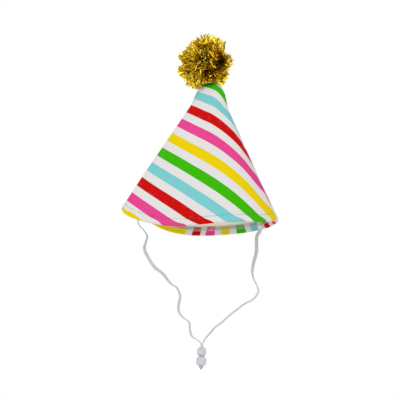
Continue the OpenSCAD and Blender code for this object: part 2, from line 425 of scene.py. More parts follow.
def thread(name, rgb, roughness=0.55):
    """Twisted sewing thread."""
    n = Nodes(name)
    ply = n.noise(n.place(), 5000.0, 2.0)
    colour = n.mix(ply, rgba(rgb, 0.8), rgba(rgb))
    n.bump(ply, 0.5, 0.00005)
    return n.finish(Base_Color=colour, Roughness=roughness, Sheen_Weight=0.2)


def elastic_braid():
    """Braided elastic: crossing yarns along the band. The UV map holds millimetres."""
    n = Nodes("elastic_braid")
    split = n.add("SeparateXYZ", {0: n.add("UVMap", uv_map="band").outputs["UV"]})
    across, along = split.outputs["X"], split.outputs["Y"]
    pitch = 0.5
    left = n.math("ADD", along, across)
    right = n.math("SUBTRACT", along, across)
    height = weave_height(n, left, right, pitch)
    # Painted shade and light: the yarns are darker where they lie low in the braid and lighter where they
    # stand up
    colour = n.mix(n.ramp(height, 0.3, 1.9), rgba((176, 178, 182)), rgba((222, 223, 226)))
    dust = n.noise(n.place(), 300.0, 3.0)
    colour = n.mix(n.math("MULTIPLY", dust, 0.2), colour, rgba((150, 152, 158)))
    n.bump(height, 0.7, 0.00012)
    return n.finish(Base_Color=colour, Roughness=0.75, Sheen_Weight=0.15, Specular_IOR_Level=0.3)


def frosted_plastic():
    """Milky translucent plastic of the beads."""
    n = Nodes("frosted_plastic")
    cloud = n.noise(n.place(), 500.0, 3.0)
    colour = n.mix(cloud, rgba((196, 198, 203)), rgba((216, 218, 222)))
    rough = n.math("MULTIPLY_ADD", cloud, 0.15, 0.35)
    return n.finish(Base_Color=colour, Roughness=rough, Transmission_Weight=0.25, IOR=1.49,
                    Specular_IOR_Level=0.4)


def tinsel():
    """Gold metallised film. Each strip's tone, stored on its points, holds painted shade and light."""
    n = Nodes("tinsel")
    tone_and_painted_shade = n.add("Attribute", attribute_name="tone_and_painted_shade").outputs["Fac"]
    # Painted shade and light: low tones give dark brown for strips in shade, high tones pale yellow for lit
    # tips
    deep = n.mix(n.ramp(tone_and_painted_shade, 0.0, 0.5), rgba((76, 36, 3)), rgba((230, 186, 10)))
    colour = n.mix(n.ramp(tone_and_painted_shade, 0.4, 1.0), deep, rgba((255, 240, 92)))
    scratch = n.noise(n.place(), 1800.0, 3.0)
    n.bump(scratch, 0.15, 0.0001)
    rough = n.math("MULTIPLY_ADD", scratch, 0.25, 0.14)
    return n.finish(Base_Color=colour, Metallic=0.85, Roughness=rough)


# ------------------------------------------------------------------ the chin strap
ELASTIC_W = 3 * MM
ELASTIC_T = 0.9 * MM
TOGGLE_D, TOGGLE_H = 8.1 * MM, 7.6 * MM
STOPPER_D, STOPPER_H = 8.8 * MM, 8.6 * MM
BEAD_HOLE = 4.2 * MM
TOGGLE_AT = np.array([1, 15, -105]) * MM
STOPPER_AT = TOGGLE_AT - np.array([0, 0, 8.4]) * MM
# Where a strand's free part ends and its tail starts: a share of the bead's height below its middle
TAIL_FROM = 0.1
KNOT_AT = STOPPER_AT - np.array([0, 0, 1.3 * MM + STOPPER_H / 2])
KNOT_R = 1.9 * MM
LEFT_ANGLE = math.radians(158)
RIGHT_ANGLE = math.radians(48)

# Routes of the elastics from the rim to the sliding bead, in millimetres
LEFT_ROUTE = [
    (-60.5, 6, 13), (-60, 6, 8), (-58, 7, 3), (-54, 7, -1), (-51, 8, -6), (-52, 8, -11),
    (-53, 9, -17), (-49, 9, -25), (-43, 10, -33), (-36, 11, -38), (-29, 12, -46),
    (-23, 12, -50), (-20, 12, -57), (-21, 13, -66), (-20, 13, -72), (-16, 14, -76),
    (-11, 14, -80), (-10, 14, -87), (-8, 15, -92), (-3, 15, -95), (0, 15, -98),
]
RIGHT_ROUTE = [
    (48, 30, 4.5), (46, 29, 1), (46, 28, -6), (46, 27, -14), (44, 25, -23), (43, 23, -31),
    (44, 22, -37), (47, 21, -43), (49, 21, -48), (48, 20, -52), (44, 20, -57), (37, 19, -61),
    (31, 18, -66), (24, 18, -72), (18, 17, -78), (12, 16, -83), (8, 16, -88), (4, 15, -93),
    (2, 15, -97),
]
# Turn of the band about its length, in degrees, against its share of the way
LEFT_TURN = (
    (0, 0.15, 0.25, 0.35, 0.45, 0.55, 0.65, 0.75, 0.95, 1), (85, 78, 62, 10, 32, 60, 46, 60, 58, 90)
)
RIGHT_TURN = (
    (0, 0.2, 0.27, 0.34, 0.45, 0.6, 0.95, 1), (5, 8, 45, 72, 72, 62, 60, 90)
)
# Pieces of the spline between two points of a route, and sections over which its turn is evened out
ROUTE_STEPS = 16
TURN_EVENED = 24


def spline(points, steps):
    """Catmull-Rom curve through the points, with steps pieces for each gap."""
    p = np.asarray(points, float)
    p = np.concatenate([p[:1], p, p[-1:]])
    u = np.arange(steps)[:, None] / steps
    parts = [
        0.5 * (2 * b + (c - a) * u + (2 * a - 5 * b + 4 * c - d) * u**2 + (3 * b - a - 3 * c + d) * u**3)
        for a, b, c, d in zip(p[:-3], p[1:-2], p[2:-1], p[3:])
    ]
    return np.concatenate([*parts, p[-1:]])


def resample(line, values, step):
    """The line at an even step, with values carried along, and the distance of each point."""
    gone = np.concatenate([[0], np.cumsum(np.linalg.norm(np.diff(line, axis=0), axis=1))])
    even = np.linspace(0, gone[-1], int(gone[-1] / step) + 1)
    at_even = [
        np.stack([np.interp(even, gone, c) for c in np.asarray(v).T], 1) for v in (line, values)
    ]
    return *at_even, even


def softened(values, width):
    """Values averaged over a window, with the ends held."""
    padded = np.pad(values, ((width, width), (0, 0)), mode="edge")
    window = np.ones(2 * width + 1) / (2 * width + 1)
    return np.stack([np.convolve(c, window, mode="valid") for c in padded.T], 1)


def strand_side(side):
    """Where a strand passes the beads' holes, beside the other one."""
    return side * (ELASTIC_T + GAP) / 2


def upper_line(route, side):
    """Route of a strand from the rim into the sliding bead."""
    x = TOGGLE_AT[0] + strand_side(side)
    ends = [(x, TOGGLE_AT[1], TOGGLE_AT[2] + share * TOGGLE_H) for share in (0.42, -TAIL_FROM)]
    return spline([*(np.array(route) * MM), *ends], ROUTE_STEPS)


BRAID_STEP = 0.25 * MM
BRAID_SIDES = 28
BRAID_RISE = 0.07 * MM
# How square the band's section is across its edges and its faces: 1 is round, 0 is square
EDGE_POWER, FACE_POWER = 0.75, 0.35
YARNS = 4


def braided_band(name, line, across, gone, width=ELASTIC_W, thickness=ELASTIC_T):
    """A flat braid along a line: rounded edges, with crossing yarns raised on both faces."""
    t = 2 * np.pi * np.arange(BRAID_SIDES) / BRAID_SIDES
    c, s = np.cos(t), np.sin(t)
    wide = np.sign(c) * np.abs(c) ** EDGE_POWER
    thick = np.sign(s) * np.abs(s) ** FACE_POWER
    slope = 2 * np.pi * YARNS
    along = gone[:, None] / width * slope / 2
    over = np.sin(along + slope * wide / 4) * np.sin(along - slope * wide / 4)
    rise = BRAID_RISE * (2 * np.abs(over) ** 0.5 - 1)
    section = np.stack(
        [np.broadcast_to(wide * width / 2, over.shape), thick * (thickness / 2 - BRAID_RISE + rise)], -1
    )
    points, faces = sweep(line, across, section)
    piece = new_piece(name, points, faces, MATERIAL["elastic"])
    fix_normals(piece)
    layer = piece.data.uv_layers.new(name="band")
    corner = np.array([loop.vertex_index for loop in piece.data.loops])
    ring, place = np.divmod(corner, BRAID_SIDES)
    uv = np.stack([wide[place] * width / 2 / MM, gone[ring] / MM], 1)
    layer.data.foreach_set("uv", uv.ravel())
    return piece


def strand(name, route, turns, side):
    """One elastic: the free cord down to the sliding bead, and its tail down to the knot."""
    rough = upper_line(route, side)
    share = np.clip(np.arange(len(rough)) / (ROUTE_STEPS * (len(route) - 1)), 0, 1)
    turn = np.radians(np.interp(share, *turns))
    flat = np.stack([np.cos(turn), np.sin(turn), 0 * turn], 1)
    line, flat, gone = resample(rough, flat, BRAID_STEP)
    piece = braided_band(name, line, softened(flat, TURN_EVENED), gone)
    tail_end = KNOT_AT[2] + 1 * MM
    x = TOGGLE_AT[0] + strand_side(side)
    z = np.arange(TOGGLE_AT[2] - TAIL_FROM * TOGGLE_H, tail_end, -BRAID_STEP)
    tail_line = np.stack([x + 0 * z, TOGGLE_AT[1] + 0 * z, z], 1)
    tail = braided_band(name + "_tail", tail_line, (0, 1, 0), gone[-1] + z[0] - z)
    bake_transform(tail)
    above = TOGGLE_AT + np.array([0, 0, TOGGLE_H / 2 + 2 * MM])
    return piece, tail, line, gone[-1], above


def lathe(name, profile, centre, material, sides=96):
    """A closed ring profile of (radius, height) turned about an upright axis."""
    t = 2 * np.pi * np.arange(sides) / sides
    r, h = np.asarray(profile).T
    level = np.broadcast_to(h, (sides, len(h)))
    points = np.stack([np.outer(np.cos(t), r), np.outer(np.sin(t), r), level], -1)
    faces = grid_faces(sides, len(r), True, True)
    piece = new_piece(name, points.reshape(-1, 3) + centre, faces, material)
    fix_normals(piece)
    return piece


def bead(name, d, h, centre):
    """A moulded bead with softened edges at its hole and a fine parting line round its middle."""
    hole, lip = BEAD_HOLE / 2, 0.5 * MM
    reach = math.atan2(h / 2 - 0.2 * lip, hole + lip)
    arc = np.linspace(-reach, reach, 40)
    ball = math.hypot(h / 2, hole)
    radius = np.minimum(ball * np.cos(arc), d / 2 - 0.15 * MM * (arc / reach) ** 2)
    height = ball * np.sin(arc)
    radius += 0.05 * MM * bell(height, 0.12 * MM)
    turn = np.linspace(0, np.pi, 10)[1:-1]
    lip_r = hole + lip - lip * np.sin(turn / 2) ** 2
    lip_h = h / 2 - lip + lip * np.sin(turn)
    wall = np.linspace(1, -1, 7) * (h / 2 - lip)
    top = list(zip(lip_r, lip_h))
    bottom = [(r, -z) for r, z in reversed(top)]
    outer = list(zip(radius, height))
    inner = [(hole, z) for z in wall]
    return lathe(name, outer + top + inner + bottom, centre, MATERIAL["bead"])


def end_knot():
    """An overhand knot of both strands below the stopper, with their cut ends."""
    t = np.linspace(0, 2 * np.pi, 120, endpoint=False)
    tube, across = 0.55 * MM, KNOT_R - 0.62 * MM
    line = np.stack([
        (np.sin(t) + 2 * np.sin(2 * t)) / 3 * across,
        -np.sin(3 * t) * 0.4 * across,
        (np.cos(t) - 2 * np.cos(2 * t)) / 3 * across,
    ], 1)
    ring = ellipse(2.3 * tube, 1.9 * tube, 14)
    out = unit(line)
    t_dir = unit(np.roll(line, -1, 0) - np.roll(line, 1, 0))
    wide = unit(out - (out * t_dir).sum(-1, keepdims=True) * t_dir)
    thick = np.cross(t_dir, wide)
    points = (line[:, None] + ring[:, :1] * wide[:, None] + ring[:, 1:] * thick[:, None]).reshape(-1, 3)
    parts = [(points + KNOT_AT, grid_faces(len(t), len(ring), True, True))]
    for side in (-1, 1):
        down = np.linspace(0, 1, 8)[:, None]
        end = np.array([side * 0.6, side * 0.4, -1.1]) * MM
        start = np.array([side * 0.3, 0, 0.6]) * MM
        line = KNOT_AT + start + (end - start) * down
        parts.append(sweep(line, (0.3, 1, 0), ellipse(0.8 * ELASTIC_W, ELASTIC_T, 16)))
    piece = new_piece("knot_of_strands", *joined(parts), MATERIAL["elastic_plain"])
    fix_normals(piece)
    return piece


def make_chin_strap():
    """The two elastics with the beads and the knot."""
    knot = end_knot()
    toggle = bead("sliding_bead", TOGGLE_D, TOGGLE_H, TOGGLE_AT)
    stopper = bead("stopper_bead_moulded", STOPPER_D, STOPPER_H, STOPPER_AT)
    for piece, node, body, slot in (
        (knot, "end_knot", "chin_strap", "elastic"),
        (toggle, "toggle_bead", "toggle", "bead"),
        (stopper, "stopper_bead", "chin_strap", "bead"),
    ):
        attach(piece, body)
        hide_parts(node)
    for name, route, turns, side in (
        ("elastic_strand_left", LEFT_ROUTE, LEFT_TURN, -1),
        ("elastic_strand_right", RIGHT_ROUTE, RIGHT_TURN, 1),
    ):
        piece, tail, line, length, above = strand(name, route, turns, side)
        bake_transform(piece)
        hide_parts(name.replace("_strand", ""))


# ------------------------------------------------------------------ the cloth
AROUND = 600
FOLD_R = HEM_IN / 2
STITCH_UP = 6.3 * MM
# Millimetres of print that the rolled hem takes up below its stitches
ROLL_EXTRA = 1.4
# Where the cloth and the felt begin, as shares of the round tip, and how far above the rim the mesh
# of the cloth is finest
CLOTH_TOP, FELT_TOP = 0.02, 0.06
FINE_UP = 14 * MM
# Deepest dent in the cloth, and the cone's rough radius where its back seam runs
DEEPEST = 0.5 * MM
BACK_RADIUS = 45 * MM


def cut_layout():
    """Angles round the cone, seam to seam, and where each ruling lies in the flat cut.

    Returns the angles, the rulings' turns in the cut, and a table of distances from the point
    that the sides aim at, for shares of the way to the rim.
    """
    a = SEAM - 2 * np.pi + 2 * np.pi * np.arange(AROUND + 1) / AROUND
    share = np.linspace(0, 1, 61)
    x, y, z = rim(a)
    roundness = ((share**2 + ROUND_FADE) / (1 + ROUND_FADE)) ** ROUND_POWER
    rulings = np.stack([
        np.outer(share, x), np.outer(share * roundness, y), np.outer(share, z - CONE_HEIGHT)
    ], -1)
    gone = np.cumsum(np.linalg.norm(np.diff(rulings, axis=0), axis=2), axis=0)
    gone = np.concatenate([np.zeros((1, len(a))), gone])
    length = gone[-1]
    step = np.linalg.norm(np.diff(rulings[-1], axis=0), axis=1)
    turn = np.sqrt(np.maximum(step**2 - np.diff(length) ** 2, 0)) / ((length[1:] + length[:-1]) / 2)
    theta = np.concatenate([[0], np.cumsum(turn)])
    return a, theta - np.interp(-np.pi / 2, a, theta), share, gone


def cut_size(theta, reach):
    """Width and length of the rectangle round a flat cut that fans out from a point, and its area."""
    half = min((theta[-1] - theta[0]) / 2, math.pi / 2)
    area = 0.5 * float(np.sum(np.diff(theta) * reach[1:] ** 2))
    return (2 * reach.max() * math.sin(half), reach.max()), area


def angle_between(a, b):
    """The way from b to a, within half a turn either way."""
    return np.angle(np.exp(1j * (a - b)))


def ripples(a, up, seed, count, size, turns, rises):
    """Soft uneven swellings of a surface, over the angle and the height above the rim."""
    rng = np.random.default_rng(seed)
    total = 0 * a * up
    for _ in range(count):
        m, n = rng.integers(*turns), rng.uniform(*rises)
        total = total + size * rng.normal() * np.sin(m * a + n * up + rng.uniform(0, 2 * np.pi))
    return total


def cloth_dents(a, up):
    """How far the cloth's outside is pushed in: the stitched ring, its puckers, the seam's groove."""
    ring = 0.4 * MM * bell(up - STITCH_UP, 0.5 * MM)
    swell = -0.3 * MM * bell(up - 3 * MM, 2.2 * MM)
    near = bell(up - 5.5 * MM, 3.6 * MM)
    strength = 0.5 + ripples(a, 0 * up, SEED, 6, 0.35, (5, 30), (0, 1))
    slant = np.sin(95 * a + up / (1.3 * MM) + ripples(a, 0 * up, SEED + 1, 6, 1.2, (4, 25), (0, 1)))
    puckers = 0.24 * MM * near * np.clip(strength, 0, 1.4) * slant
    from_seam = angle_between(a, SEAM) * BACK_RADIUS
    groove = bell(from_seam, 5.5 * MM) * (bell(from_seam, 0.8 * MM) - 0.75)
    soft = ripples(a, up, SEED + 2, 9, 0.09 * MM, (2, 9), (-60, 60))
    return ring + swell + puckers + 0.45 * MM * groove + soft


def stitch_crease_shade(a, up):
    """Painted shade of the crease that the hem's stitches pull into the cloth, from 0 to 1."""
    uneven = np.clip(0.65 + ripples(a, 0 * up, SEED + 6, 8, 0.2, (3, 40), (0, 1)), 0.1, 1)
    return uneven * bell(up - STITCH_UP, 0.42 * MM)


def smoothstep(t):
    """A soft step from 0 to 1 as t goes from 0 to 1."""
    t = np.clip(t, 0, 1)
    return t * t * (3 - 2 * t)


def print_turn(theta):
    """Turns of the rulings as the print has them, with the cloth eased at the fold and the corner."""
    eased = theta - (1 - LEFT_KEPT) * np.minimum(theta - STRIPE_TURN, 0)
    lost = CORNER_LOST * smoothstep((theta - CORNER_FROM) / CORNER_OVER)
    regained = EDGE_REGAINED * smoothstep((theta - EDGE_FROM) / EDGE_OVER)
    return eased - lost + regained + BACK_REGAINED * np.clip((theta - BACK_FROM) / BACK_OVER, 0, BACK_MOST)


def print_drift(theta, along, length):
    """How far the print strays along the cut, in millimetres."""
    t = np.clip(theta, *PRINT_EDGES) / PRINT_TURN
    s = np.minimum(along, length) / PRINT_REACH
    return sum(size * t**i * s**j for i, j, size in PRINT_DRIFT)


def hem_roll(a, along, length):
    """Extra cloth in the hem below its stitches, which rolls outwards, in millimetres."""
    below = smoothstep((along - length + STITCH_UP) / STITCH_UP)
    return ROLL_EXTRA * below * (1 + ripples(a, 0 * a, SEED + 4, 8, 0.3, (7, 40), (0, 1)))


def lay_cut(piece, faces, cols, along, a, theta, length):
    """UV map of the flat cut, in millimetres: polar, about the point the rulings run to."""
    j = faces[:, 0] % cols
    col = np.stack([j, j + 1, j + 1, j], 1)
    row = faces // cols
    s, turn = along[row, col] / MM, print_turn(theta)[col] - STRIPE_TURN
    drift = (print_drift(theta, along, length) + hem_roll(a, along, length))[row, col]
    uv = np.stack([s * np.cos(turn) + drift, s * np.sin(turn)], -1)
    piece.data.uv_layers.new(name="cut").data.foreach_set("uv", uv.ravel())


def make_cloth():
    """The cone's cloth, turned up inside into its hem, as one closed sheet."""
    a, theta, steps, gone = cut_layout()
    length = gone[-1]
    side = np.concatenate([
        TIP_PARAM * np.linspace(CLOTH_TOP, 1, 22)[:-1],
        np.linspace(TIP_PARAM, above_rim(FINE_UP), 40)[:-1],
        above_rim(np.linspace(FINE_UP, FOLD_R, 42)),
    ])
    turn = np.linspace(0, np.pi, 12)[1:]
    facing = np.linspace(FOLD_R, HEM_DEPTH, 18)[1:]
    back = np.linspace(HEM_DEPTH, FOLD_R, 6)
    inner = np.linspace(above_rim(FOLD_R), TIP_PARAM * CLOTH_TOP, 24)[1:]
    parts = (side, turn, facing, back, inner)

    def rows(*values):
        return np.concatenate([v + np.zeros(len(p)) for v, p in zip(values, parts)])

    k = rows(side, above_rim(FOLD_R * (1 - np.sin(turn))), above_rim(facing), above_rim(back), inner)
    depth = rows(0, FOLD_R * (1 - np.cos(turn)), HEM_IN, HEM_OUT, FABRIC)
    share = rows(profile(side)[1], 1, 1, 1, profile(inner)[1])
    over = FOLD_R * (np.pi - 2)
    past = rows(0, FOLD_R * (turn - 1), over + facing, over + HEM_DEPTH, 0)
    outside = rows(np.clip((side - 0.02) / 0.2, 0, 1), np.cos(turn / 2) ** 2, 0, 0, 0)
    inside = rows(0, np.sin(turn / 2) ** 2, 1, 1, 0)
    up = (1 - k) * (1 - TIP_SHARE) * SLANT / (1 - TIP_PARAM)
    kk, aa = np.meshgrid(k, a[:-1], indexing="ij")
    uu = np.broadcast_to(up[:, None], kk.shape)
    dents = np.minimum(cloth_dents(aa, uu), DEEPEST)
    loose = ripples(aa, uu, SEED + 3, 8, 0.08 * MM, (6, 30), (-300, 300))
    points = at(kk, aa, depth[:, None] + dents * outside[:, None] + loose * inside[:, None])
    faces = grid_faces(*kk.shape, True, True)
    piece = new_piece("striped_cloth_cone", points.reshape(-1, 3), faces, MATERIAL["cloth"])
    # Painted shade for the stitched crease, on the cloth's outside only
    crease_shade = stitch_crease_shade(aa, uu) * outside[:, None]
    store(piece, "crease_shade", crease_shade.ravel())
    along = np.stack([np.interp(share, steps, ruling) for ruling in gone.T], 1)
    lay_cut(piece, faces, len(a) - 1, along + past[:, None], a, theta, length)
    fix_normals(piece)
    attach(piece, "hat")
    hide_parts("hat_fabric")
    return piece, cut_size(theta, length + HEM_DEPTH), cut_size(theta, length - FABRIC)


def fuzz(points, size, scale, seed):
    """Random heights that vary smoothly over a length scale, for a felted surface."""
    shift = Vector((seed * 3.7, seed * 1.3, seed * 0.9))
    heights = [noise.fractal(Vector(p) / scale + shift, 0.6, 2.1, 4) for p in points]
    return size * np.array(heights)


def make_stiffener():
    """The felt cone inside the cloth, with its open lower edge under the hem."""
    bottom = above_rim(FABRIC + 2 * GAP)
    outer = np.linspace(TIP_PARAM * FELT_TOP, bottom, 24)
    inner = np.concatenate([
        np.linspace(bottom, above_rim(16 * MM), 36)[:-1],
        np.linspace(above_rim(16 * MM), TIP_PARAM * FELT_TOP, 50),
    ])
    k = np.concatenate([outer, inner])
    depth = np.concatenate([FELT_OUT + 0 * outer, FELT_IN + 0 * inner])
    kk, aa = np.meshgrid(k, 2 * np.pi * np.arange(420) / 420, indexing="ij")
    base = at(kk, aa, depth[:, None])
    hem = above_rim(HEM_DEPTH + 0.5 * MM)
    seen = np.clip((hem - inner) / 0.02, 0, 1)
    rough = fuzz(base[len(outer):].reshape(-1, 3), 0.16 * MM, 1.5 * MM, SEED).reshape(len(inner), -1)
    push = np.concatenate([0 * kk[: len(outer)], np.abs(rough) * seen[:, None]])
    points = at(kk, aa, depth[:, None] + push)
    faces = grid_faces(*kk.shape, True, True)
    piece = new_piece("felt_stiffener", points.reshape(-1, 3), faces, MATERIAL["felt"])
    fix_normals(piece)
    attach(piece, "hat")
    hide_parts("stiffener")
    return piece


# ------------------------------------------------------------------ sewing
def thread_on(k, a, depth, diameter, sides=6):
    """A thread laid along points of the cone, given by parameter, angle and depth."""
    line = at(k, a, depth)
    return sweep(line, inward(k, a), ellipse(diameter, diameter, sides))


def sewn(name, parts, material, node):
    """Threads joined into one piece that rides on the hat and stands for a CAD node."""
    piece = new_piece(name, *joined(parts), MATERIAL[material])
    fix_normals(piece)
    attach(piece, "hat")
    if node:
        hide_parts(node)
    return piece


# The seam's flaps: where they start and end beside the seam, and how deep the pinked edge is, in
# degrees round the cone, then how deep in the hat their two faces lie
SEAM_NEAR, SEAM_FAR, PINKED = 0.35, 3.6, 1.1
SEAM_LOW, SEAM_HIGH = FELT_IN + 0.25 * MM, FELT_IN + 0.65 * MM
SEAM_THREAD = 0.35 * MM


def make_seam():
    """The back seam's allowances, pressed open inside with pinked edges, and its row of stitches."""
    k = np.linspace(0.3, above_rim(HEM_DEPTH + 1 * MM), 260)
    parts = []
    for side in (-1, 1):
        pinked = np.abs((np.arange(len(k)) / 6) % 1 - 0.5)
        near, far = math.radians(SEAM_NEAR) * side, np.radians(SEAM_FAR + PINKED * pinked) * side
        lift = 0.25 * MM * np.abs(np.sin(np.arange(len(k)) * 0.11 + side))
        corners = [
            at(k, SEAM + near, SEAM_LOW), at(k, SEAM + far, SEAM_LOW),
            at(k, SEAM + far, SEAM_HIGH + lift), at(k, SEAM + near, SEAM_HIGH),
        ]
        points = np.stack(corners, 1).reshape(-1, 3)
        faces = [tuple(f) for f in grid_faces(len(k), 4, close_cols=True)]
        parts.append((points, faces + [(3, 2, 1, 0), tuple(4 * len(k) - 4 + np.arange(4))]))
    flaps = sewn("seam_allowances", parts, "lining", "back_seam")
    stitch = []
    for start in np.arange(0.32, k[-1] - 0.02, 0.021):
        reach = np.linspace(start, start + 0.016, 6)
        stitch.append(thread_on(reach, SEAM + 0 * reach, SEAM_LOW - 0.05 * MM, SEAM_THREAD))
    stitches = sewn("seam_stitches", stitch, "thread", None)
    stitches.parent = flaps
    stitches.matrix_parent_inverse = flaps.matrix_world.inverted()
    return flaps


TOPSTITCHES = 128
TOPSTITCH_THREAD = 0.17 * MM


def make_topstitch():
    """Stitches through the hem, sunk in the ring that they pull into the cloth, in grey thread as painted
    shade.
    """
    parts = []
    rng = np.random.default_rng(SEED + 5)
    for i in range(TOPSTITCHES):
        pitch = 2 * np.pi / TOPSTITCHES
        a = i * pitch + np.linspace(-0.36, 0.36, 9) * pitch
        up = STITCH_UP + rng.normal() * 0.06 * MM + 0 * a
        dip = 0.32 * MM * (np.abs(np.linspace(-1, 1, 9)) ** 5)
        level = np.minimum(cloth_dents(a, up), DEEPEST) + 0.02 * MM
        parts.append(thread_on(above_rim(up), a, level + dip, TOPSTITCH_THREAD))
    return sewn("hem_topstitches", parts, "fine_thread_painted_shade", "hem_topstitch")


OVERLOCK_W = 3.5 * MM
OVERLOCK_LOOPS = 270
OVERLOCK_THREAD = 0.3 * MM
CHAIN_THREAD = 0.34 * MM


def make_overlock():
    """Threads of the overlocked edge: loops over the edge, a chain on it and a row of needle stitches."""
    lay = HEM_IN + 0.14 * MM
    n = OVERLOCK_LOOPS
    parts = []
    for shift in (0, 0.5):
        t = np.arange(0, n, 1 / 8)
        swing = np.abs(2 * ((t + shift) % 1) - 1)
        a = 2 * np.pi * (t + shift) / n
        up = HEM_DEPTH - OVERLOCK_W * swing + 0.15 * MM
        depth = lay + 0.12 * MM * np.sin(np.pi * swing) - 0.35 * MM * np.clip(0.12 - swing, 0, 1) / 0.12
        parts.append(thread_on(above_rim(up), a, depth, OVERLOCK_THREAD, 5))
    t = np.arange(0, n, 1 / 6)
    chain = np.sin(2 * np.pi * t)
    edge = above_rim(HEM_DEPTH + 0.15 * MM * chain)
    parts.append(thread_on(edge, 2 * np.pi * t / n, lay, CHAIN_THREAD, 5))
    for i in range(n):
        a = 2 * np.pi * (i + np.linspace(0.1, 0.9, 5)) / n
        row = above_rim(HEM_DEPTH - OVERLOCK_W + 0 * a)
        parts.append(thread_on(row, a, lay + 0.08 * MM, OVERLOCK_THREAD, 5))
    return sewn("hem_overlock_threads", parts, "thread", "hem_overlock")


TACK_ROWS = 13
TACK_HALF_WIDTH = math.radians(2.0)
TACK_RISE = 1.2 * MM
TACK_THREAD = 0.36 * MM


def make_tacks():
    """The elastics' sewn ends on the inside of the hem, and the bar tacks over them."""
    for side, angle, first in (
        ("left", LEFT_ANGLE, LEFT_ROUTE[0]),
        ("right", RIGHT_ANGLE, RIGHT_ROUTE[0]),
    ):
        up = np.linspace(HEM_DEPTH - 0.4 * MM, 0.3 * MM, 6)
        lie = at(above_rim(up), angle, HEM_IN + 0.62 * MM)
        rough = spline(np.concatenate([lie, [np.array(first) * MM]]), 8)
        normals = np.broadcast_to(inward(0.98, np.array(angle)), rough.shape)
        line, normal, gone = resample(rough, normals, BRAID_STEP)
        across = np.cross(tangents(line), normal)
        end = braided_band(f"sewn_end_{side}", line, across, gone)
        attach(end, "hat")
        parts = []
        for i in range(TACK_ROWS):
            share = np.linspace(-1, 1, 15)
            swing = TACK_HALF_WIDTH * share
            rise = (0.8 + 3.0 * (i + 0.25 * share) / (TACK_ROWS - 1)) * MM
            over = HEM_IN + TACK_RISE - 1 * MM * np.abs(share) ** 6
            parts.append(thread_on(above_rim(rise), angle + swing, over, TACK_THREAD))
        sewn(f"bar_tack_{side}", parts, "thread", f"tack_{side}")


# ------------------------------------------------------------------ the pompom
PIVOT = np.array([TIP_LEAN * (1 - TIP_CUT / LEAN_SHARE) ** 2, 0, CONE_HEIGHT * (1 - TIP_CUT) + 1.5 * MM])
POMPOM_AT = np.array([-6.3, 0, 150.5]) * MM
POMPOM_R = 23.5 * MM
STRIPS = 1100
STRIP_W = 1.2 * MM
STRIP_T = 0.04 * MM
# Shares of a strip's length at which it has a section
STRIP_AT = np.array([0.14, 0.4, 0.6, 0.73, 0.84, 0.93, 1.0])
TUFTS = 64
# How strongly a strip is drawn to its tuft, least and most, and how much it curls at random
PULL = (0.5, 1.9)
CURL = 0.2
# Least and most reach of a strip, as a share of the ball's radius
REACH = (0.6, 1.13)
# Strips' underside over the cone's tip: height above the pivot, more of it round the neck, and slope
# in degrees near the neck and how much steeper it is farther out
UNDER_UP, NECK_ROOM = 2.1 * MM, 1.8 * MM
UNDER_SLOPE, UNDER_STEEPER = 3, 19
# Uneven outline of the ball, seen from the front: angle from +X, rise of the radius, half-width
LOBES = (
    (56, 0.1, 12), (31, -0.18, 12), (-16, -0.15, 8), (105, -0.13, 10), (125, -0.12, 16),
    (149, -0.15, 12), (184, -0.28, 8), (198, 0.05, 8), (263, 0.06, 14), (-55, 0.04, 12),
)
# Where the strips lie in each other's shade, as a shorter reach and as painted shade darkening their tone:
# direction from the ball's centre, and width
SHADES = (((0.76, -0.65, -0.05), 0.55), ((0.12, -0.75, -0.65), 0.26), ((-0.05, -0.8, 0.62), 0.22))


def sphere_points(count, rng, jitter):
    """Directions spread evenly over a sphere, then shaken."""
    i = np.arange(count) + 0.5
    z = 1 - 2 * i / count
    turn = i * np.pi * (3 - math.sqrt(5))
    ring = np.sqrt(1 - z**2)
    even = np.stack([ring * np.cos(turn), ring * np.sin(turn), z], 1)
    return unit(even + jitter * rng.normal(size=(count, 3)))


def lobed(way):
    """Share of the ball's radius that the strips reach in each direction."""
    angle = np.arctan2(way[:, 2], way[:, 0])
    level = np.hypot(way[:, 0], way[:, 2]) ** 2
    reach = 1.0 + 0 * angle
    for centre, rise, width in LOBES:
        off = angle_between(angle, math.radians(centre))
        reach += rise * level * bell(off, math.radians(width))
    return reach


def clear_of_tip(points):
    """Lift points that would lie in the cone's tip, with room for the ball to swing."""
    off = points - PIVOT
    r = np.hypot(off[..., 0], off[..., 1])
    slope = np.radians(UNDER_SLOPE + UNDER_STEEPER * smoothstep((r - 6 * MM) / (8 * MM)))
    floor = PIVOT[2] + UNDER_UP + NECK_ROOM * bell(r, 3.4 * MM) - r * np.tan(slope)
    short = np.maximum(floor - points[..., 2], 0)
    lifted = points.copy()
    lifted[..., 2] += short
    lifted[..., :2] += 0.5 * (off[..., :2] / np.maximum(r, MM)[..., None]) * short[..., None]
    return lifted


